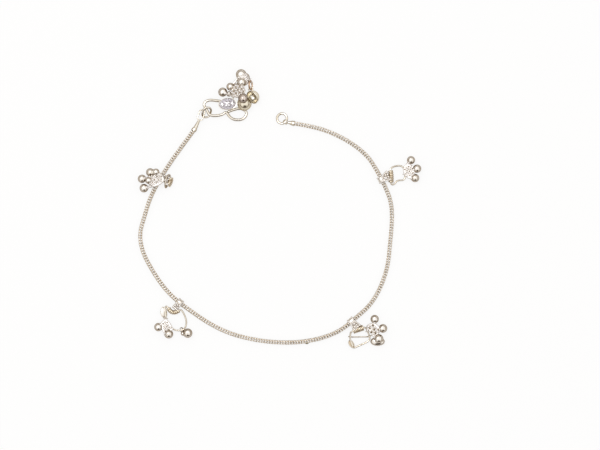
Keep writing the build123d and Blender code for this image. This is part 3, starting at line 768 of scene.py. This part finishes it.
for node, row in strap_rows.items():
    form = new_form()
    run_start, run_end = chain_route[row["run"]], chain_route[row["run"] + 1]
    wanted = Vector(run_start).lerp(Vector(run_end), row["part"]) - Vector((*outline_middle, 0))
    nearest = int(np.argmin(np.linalg.norm(route - np.array(wanted), axis=1)))
    seat = Vector(route[nearest])
    along = Vector(route[nearest + 1] - route[nearest - 1])
    along.z = 0
    along.normalize()
    hang = along.cross(Vector((0, 0, 1))) * row["side"]
    first, last = (place(x, y, strap_height) for x, y in row["barrel"])
    chord = (last - first).normalized()
    outward = (first + last) / 2 - seat
    outward.z = 0
    outward = (outward - chord * outward.dot(chord)).normalized()
    bend = (first + last) / 2 + outward * row["bow"] / 500
    radius = row["radius"] / 1000
    ribs = max(6, round((last - first).length / rib_pitch))
    shares = [0.12, 0.0] + [k / (ribs * 8) for k in range(ribs * 8 + 1)] + [1.0, 0.88]
    line = [first * (1 - s) ** 2 + bend * (2 * s * (1 - s)) + last * s ** 2 for s in shares]
    ribbed = [radius - 0.00014 + 0.0002 * abs(math.sin(math.pi * ribs * s)) ** 0.55 for s in shares[2:-2]]
    barrel_lines[node] = (first, last, (line[3] - line[2]).normalized(), (line[-3] - line[-4]).normalized())
    side = Vector((0, 0, 1))
    skins = []
    for spot, size, share in zip(line, [bore_radius] * 2 + ribbed + [bore_radius] * 2, shares):
        ahead = ((bend - first) * (1 - share) + (last - bend) * share).normalized()
        out = ahead.cross(side)
        skins.append([spot + (out * math.cos(a) + side * math.sin(a)) * size
                      for a in (math.tau * k / barrel_sides for k in range(barrel_sides))])
    add_skin(form, skins, finish=2)

    reach = ((first + last) / 2 - seat).dot(hang) - radius * 0.6
    far_height = radius * 0.62
    upper = [Vector((reach * k / 8, strap_wrap + (far_height - strap_wrap) * k / 8)) for k in range(8, 0, -1)]
    bendway = [Vector((-strap_wrap * math.sin(a), strap_wrap * math.cos(a)))
               for a in (math.pi * k / 16 for k in range(17))]
    lower = [Vector((point.x, -point.y)) for point in reversed(upper)]
    profile = upper + bendway + lower
    widths = []
    for point in profile:
        near = max(0.0, min(1.0, point.x / reach))
        widths.append(row["width"] / 2000 * (1 + row["flare"] * near ** 1.5))
    loops = []
    for i, (point, half_width) in enumerate(zip(profile, widths)):
        ahead = (profile[min(i + 1, len(profile) - 1)] - profile[max(i - 1, 0)]).normalized()
        outside = Vector((ahead.y, -ahead.x))
        outer, inner = [], []
        for k in range(9):
            c = k / 4 - 1
            crown = crown_height * (1 - c * c) if point.y > 0 else 0
            for skin, inset in ((outer, 0), (inner, sheet_thick)):
                local = point + outside * (crown - inset)
                skin.append(seat + hang * local.x + along * (c * half_width) + Vector((0, 0, local.y)))
        loops.append(outer + inner[::-1])
    add_skin(form, loops, finish=0)

    edge_spots = upper + bendway[1:8:2]
    for point, half_width in zip(edge_spots, widths[:8] + widths[9:16:2]):
        for c in (-1, 1):
            spot = seat + hang * point.x + along * (c * (half_width - edge_shot / 2))
            add_ball(form, spot + Vector((0, 0, point.y + 0.00008)), edge_shot, 1)
    flower = seat + hang * (reach * 0.40)
    flower.z += strap_wrap + (far_height - strap_wrap) * 0.40 + 0.00016
    add_ball(form, flower, middle_shot, 1, 16)
    for k in range(5):
        turn = math.tau * (k + 0.5) / 5
        add_ball(form, flower + (hang * math.cos(turn) + along * math.sin(turn)) * 0.00088, petal_shot, 1)
    for k in range(4):
        spot = seat + hang * (reach * 0.93) + along * ((k / 1.5 - 1) * 0.72 * widths[0])
        add_ball(form, spot + Vector((0, 0, far_height + 0.0002)), row_shot, 1, 16)
    if row["bead"]:
        add_ball(form, place(*row["bead"]), bead_shot, 1, 24)
    make_piece(node + "_strap", form, (strap_silver, strap_shot, barrel_brown), node)


# ---- wire frames ----
# Fine round wire sprung into a bore at each end of its barrel. Each loop was bent by hand, so its corners are
# soft and no two frames are alike.
frame_wire = 0.0003
seat_depth = 0.0003
seat_out = 0.0007
frame_silver = silver("frame_silver", (0.84, 0.78, 0.68), (0.62, 0.54, 0.42), 0.16, (0.30, 0.22, 0.13),
                      hollow_reach=0.0004, painted_flank_shade=0.9)
frame_rows = {
    "bail_1": [(-42.9, 8.3, 1.9), (-43.0, 9.3, 3.4), (-42.7, 12.2, 3.4), (-41.6, 13.4, 2.2)],
    "bail_2": [(-36.3, -38.4, 1.1), (-35.2, -40.9, 0.92), (-35.1, -43.3, 0.92), (-36.3, -45.3, 0.92),
               (-40.3, -45.1, 0.92), (-42.95, -41.6, 0.92), (-43.1, -36.2, 0.92)],
    "bail_3": [(32.7, -45.0, 0.92), (33.9, -48.1, 0.92), (33.1, -49.4, 0.92), (28.7, -51.3, 0.92),
               (27.7, -51.8, 0.92), (27.1, -51.0, 0.92), (26.2, -48.5, 0.92), (26.4, -46.3, 0.92)],
    "bail_4": [(42.9, 9.5, 1.1), (43.9, 11.2, 0.92), (47.0, 11.1, 0.92), (46.9, 14.6, 0.92),
               (45.9, 16.7, 0.92), (43.0, 16.5, 0.92)],
}
for node, corners in frame_rows.items():
    form = new_form()
    first, last, first_way, last_way = barrel_lines[node]
    spots = [last - last_way * seat_depth, last + last_way * seat_out]
    spots += [place(*corner) for corner in corners]
    spots += [first - first_way * seat_out, first + first_way * seat_depth]
    add_wire(form, smooth_wire(node + "_line", spots), frame_wire)
    make_piece(node.replace("bail", "wire_frame"), form, (frame_silver,),
               node.replace("bail", "frame"))


# ---- leaves, tie and single ball ----
# Two leaves of thin sheet are curled round the frames' wire and chased with a rim and a rib. One frame is
# braced by a tie with an eye at each end, and a single ball hangs in another's corner.
polish("tie_3", frame_silver)
ball_silver = silver("ball_silver", (0.94, 0.91, 0.86), (0.80, 0.74, 0.65), 0.11, (0.28, 0.20, 0.13),
                     hollow_reach=0.0006, painted_flank_shade=0.9)
polish("ball_2", ball_silver)
leaf_pale = silver("leaf_pale", (0.96, 0.94, 0.90), (0.86, 0.82, 0.75), 0.26, (0.40, 0.32, 0.22), painted_flank_shade=0.6)
leaf_brown = silver("leaf_brown", (0.78, 0.66, 0.50), (0.52, 0.40, 0.25), 0.24, (0.22, 0.13, 0.06), painted_flank_shade=0.6)
leaf_rows = {
    "leaf_2": ((-43.72, -36.3), (-43.62, -40.3), 1.05, (-42.94, -38.0), (-42.92, -39.9), leaf_pale),
    "leaf_3": ((25.9, -48.9), (27.75, -51.75), 0.85, (26.62, -49.2), (27.33, -51.1), leaf_brown),
}
leaf_level = 0.92
leaf_half_thick = 0.00013
leaf_rim = 0.00015
leaf_tip = 0.00028
curl_radius = 0.00056
for node, (root, tip, half_width, curl_start, curl_end, finish) in leaf_rows.items():
    form = new_form()
    root, tip = place(*root, leaf_level), place(*tip, leaf_level)
    across = (tip - root).cross(Vector((0, 0, 1))).normalized() * half_width / 1000
    rows = []
    for i in range(21):
        share = 0.02 + 0.96 * i / 20
        swell = math.sin(math.pi * share) ** 0.62
        over, under = [], []
        for k in range(13):
            c = k / 6 - 1
            rib = 0.00009 * math.exp(-(c / 0.16) ** 2) + 0.00012 * math.exp(-((abs(c) - 0.92) / 0.1) ** 2)
            cup = 0.00022 * (1 - c * c) * swell
            spot = root.lerp(tip, share) + across * (c * swell)
            over.append(spot + Vector((0, 0, leaf_half_thick + cup + rib)))
            under.append(spot + Vector((0, 0, cup - leaf_half_thick)))
        rows.append(over + under[::-1])
    add_skin(form, rows)
    for edge in ([row[0] for row in rows], [row[12] for row in rows]):
        add_wire(form, edge, leaf_rim, 1, 8)
    add_ball(form, rows[-1][6], leaf_tip, 1)
    add_wire(form, [place(*curl_start, leaf_level), place(*curl_end, leaf_level)], curl_radius, 1)
    make_piece(node.replace("_", "_sheet_"), form, (finish, wire_silver), node)


# ---- charms ----
# A kite of sheet covered with shot, with small dark spots of painted shade for the pits between rings of
# grains.
# Hollow balls sit on short stems, each with a collar at the joint and a seam where its two halves meet.
# Painted shade: the pits are flat spots of dark brown that stand in for the shade in the gaps between the
# grains.
pit_painted_shade = silver("pit_painted_shade", (0.30, 0.24, 0.16), (0.18, 0.13, 0.08), 0.35, (0.08, 0.05, 0.03))
grain_silver = silver("grain_silver", (1.0, 0.98, 0.97), (0.95, 0.92, 0.88), 0.30, (0.46, 0.38, 0.29),
                      hollow_reach=0.0004, deep=(0.55, 0.12), painted_flank_shade=0.40)
# Painted shade: the ball over the bell is darker all over and goes almost fully dark brown where its surface
# turns to the side, a painted dark rim.
ball_painted_dark_rim = silver("ball_painted_dark_rim", (0.84, 0.76, 0.70), (0.58, 0.49, 0.42), 0.11, (0.15, 0.10, 0.07), painted_flank_shade=0.97)
plate_half_thick = 0.0003
grain_step = 0.0009
rim_shot = 0.0003
rim_shot_step = 0.00052
pit_depth = 0.00008
narrow_pit = 0.00032
wide_pit = 0.00043
clasp_left = Vector((-21.45, 44.2))
clasp_top = Vector((-14.55, 50.8))


def clasp_slope(x, y):
    """The clasp's charm rises away from the line through its two balls that touch the table."""
    way = clasp_top - clasp_left
    return 1.6 + 0.77 * ((x - clasp_left.x) * way.y - (y - clasp_left.y) * way.x) / way.length


def flipped_slope(x, y):
    """The first drop's charm is flipped over its strap and slopes down to the table."""
    return 3.75 + 0.288 * (x + 45.0)


def lying(x, y):
    return 1.85


def add_shot_plate(form, corners, bulge, pit):
    """A kite with bowed edges, its rim roped with shot and both faces set with rings of grains round pits,
    which are dark spots of painted shade.
    """
    middle = sum(corners, Vector()) / 4
    face_up = (corners[2] - corners[0]).cross(corners[3] - corners[1]).normalized()
    if face_up.z < 0:
        face_up = -face_up
    side = (corners[1] - corners[0]).normalized()
    side = (side - face_up * side.dot(face_up)).normalized()
    up = face_up.cross(side)
    rim = []
    for start, end in zip(corners, corners[1:] + corners[:1]):
        out = (end - start).cross(face_up).normalized()
        if out.dot((start + end) / 2 - middle) < 0:
            out = -out
        for k in range(8):
            share = k / 8
            rim.append(start.lerp(end, share) + out * (bulge / 1000 * 4 * share * (1 - share)))
    add_skin(form, [[spot + face_up * (face * plate_half_thick) for spot in rim] for face in (-1, 1)])
    edge = [((spot - middle).dot(side), (spot - middle).dot(up)) for spot in rim]
    lengths = [(b - a).length for a, b in zip(rim, rim[1:] + rim[:1])]
    travel = 0.0
    for spot, after, length in zip(rim, rim[1:] + rim[:1], lengths):
        while travel < length:
            add_ball(form, spot.lerp(after, travel / length), rim_shot + hand.normal(0, 0.00002), 0)
            travel += rim_shot_step
        travel -= length
    for i in range(-6, 7):
        for k in range(-6, 7):
            x = grain_step * (i + k / 2)
            y = grain_step * k * math.sqrt(3) / 2
            inside = False
            for (ax, ay), (bx, by) in zip(edge, edge[1:] + edge[:1]):
                if (ay > y) != (by > y) and x < (bx - ax) * (y - ay) / (by - ay) + ax:
                    inside = not inside
            clear = min(math.hypot(x - ax, y - ay) for ax, ay in edge)
            if not inside or clear < 0.0003:
                continue
            spot = middle + side * (x + hand.normal(0, 0.00005)) + up * (y + hand.normal(0, 0.00005))
            for face in (-1, 1):
                if (i - k) % 3 == 0:
                    add_ball(form, spot + face_up * (face * plate_half_thick), (pit, pit, pit_depth), 1)
                else:
                    grain = 0.00045 + hand.normal(0, 0.00003)
                    add_ball(form, spot + face_up * (face * plate_half_thick * 0.8), grain, 0)


def add_hollow_ball(form, root, centre, radius, finish):
    """Stem from the plate's corner, a collar, then the ball with its soldered seam."""
    axis = (centre - root).normalized()
    if (centre - root).length > radius:
        stem = [root, root.lerp(centre, 0.5), centre - axis * radius * 0.9]
        add_turned(form, stem, [0.00042, 0.00036, 0.00042], 0)
    for distance, collar in ((0.98, 0.00062), (0.90, 0.00078)):
        add_eye(form, centre - axis * radius * distance, axis, collar * 0.8, 0.00017)
    path, radii = [], []
    for k in range(25):
        a = math.pi * (0.01 + 0.98 * k / 24)
        seam = 0.985 if k == 12 else 1.0
        path.append(centre - axis * radius * math.cos(a))
        radii.append(radius * math.sin(a) * seam)
    add_turned(form, path, radii, finish, 32)


charm_rows = {
    "clasp_charm": dict(
        rise=clasp_slope, corners=[(-17.4, 47.4), (-13.6, 46.1), (-13.7, 42.5), (-17.8, 42.6)], bulge=0.5,
        balls=[(3, (-21.45, 44.2, 1.7), 1.7), (0, (-14.55, 50.8, 1.95), 1.95),
               (2, (-13.75, 41.65, 7.05), 1.8)],
        lobes=[((-13.1, 49.65, 1.8), 1.75), ((-14.3, 47.9, 3.2), 1.7), ((-18.6, 46.2, 2.4), 1.45),
               ((-19.1, 43.5, 2.2), 1.0)]),
    "charm_1": dict(
        rise=flipped_slope, corners=[(-43.3, 11.3), (-46.3, 13.9), (-49.3, 12.1), (-47.9, 8.9)], bulge=0.7,
        balls=[(1, (-48.6, 14.1, 2.71), 1.55), (2, (-51.75, 11.7, 1.6), 1.55), (3, (-51.0, 8.2, 1.65), 1.6)],
        lobes=[((-46.4, 14.25, 3.35), 1.25), ((-49.2, 11.1, 2.54), 1.3)]),
    "charm_2": dict(
        rise=lying, corners=[(-42.8, -41.0), (-44.7, -43.0), (-43.0, -46.3), (-40.2, -44.6)], bulge=0.25,
        balls=[(1, (-45.6, -43.9, 1.55), 1.55), (2, (-41.7, -46.5, 1.65), 1.65)], lobes=[],
        eye=(-42.9, -40.7), facing=(0, 1, 0)),
    "charm_3": dict(
        rise=lying, corners=[(32.7, -43.5), (35.4, -42.5), (37.6, -44.8), (35.4, -47.6)], bulge=0.25,
        balls=[(1, (35.5, -40.9, 1.55), 1.55), (2, (38.6, -44.4, 1.6), 1.6), (3, (37.0, -48.3, 1.75), 1.75)],
        lobes=[], eye=(32.85, -45.4), facing=(-0.33, 0.94, 0)),
    "charm_4": dict(
        rise=lying, corners=[(46.6, 14.2), (47.7, 17.1), (50.2, 15.1), (49.0, 11.9)], bulge=0.6,
        balls=[(1, (49.15, 18.7, 1.5), 1.5), (2, (51.4, 15.5, 1.55), 1.55), (3, (50.65, 12.0, 1.55), 1.55)],
        lobes=[], eye=(46.84, 13.4), facing=(0, 1, 0)),
}
for node, row in charm_rows.items():
    form = new_form()
    corners = [place(x, y, row["rise"](x, y)) for x, y in row["corners"]]
    add_shot_plate(form, corners, row["bulge"], wide_pit if node == "charm_3" else narrow_pit)
    for corner, centre, radius in row["balls"]:
        over_bell = centre[2] > 5
        add_hollow_ball(form, corners[corner], place(*centre), radius / 1000, 3 if over_bell else 2)
    for centre, radius in row["lobes"]:
        add_ball(form, place(*centre), radius / 1000, 2, 32)
    if "eye" in row:
        eye = place(*row["eye"], 0.92)
        add_wire(form, [corners[0], eye + Vector((0, 0, 0.0007))], 0.0003)
        add_eye(form, eye, row["facing"])
    if node == "charm_1":
        add_wire(form, [place(-46.4, 14.25, 3.35), place(-48.6, 14.1, 2.71)], 0.00105, 2, 24)
        add_eye(form, place(-42.8, 11.2, 3.5), (0.1, 0.99, 0), 0.00066)
    if node == "charm_3":
        add_ball(form, place(36.6, -49.3, 1.25), (0.0027, 0.00165, 0.0012), 2, 32)
    if node == "clasp_charm":
        hang = place(-16.21, 44.91, 2.25)
        add_eye(form, hang, (-0.42, -0.91, 0), 0.0008)
        add_wire(form, [hang + Vector((0, 0, 0.0008)), hang + Vector((0, 0, 0.00165))], 0.00025)
        add_eye(form, place(-11.15, 48.45, 2.0), (-0.34, 0, 0.94))
        add_ball(form, place(-13.75, 49.0, 2.1), (0.0023, 0.0026, 0.0019), 0, 32)
        for ring, count in ((0.55, 6), (1.25, 11), (1.8, 15)):
            for k in range(count):
                turn = math.tau * (k + ring) / count
                shrink = math.sqrt(max(0, 1 - (ring / 2.3) ** 2))
                x = -13.75 + ring * math.cos(turn)
                y = 49.0 + 1.1 * ring * math.sin(turn)
                knot = place(x, y, 2.1 + 1.8 * shrink)
                add_ball(form, knot, 0.00036 + hand.normal(0, 0.00004), 0)
    charm_finishes = (grain_silver, pit_painted_shade, ball_silver, ball_painted_dark_rim)
    make_piece(node + "_piece", form, charm_finishes, node)
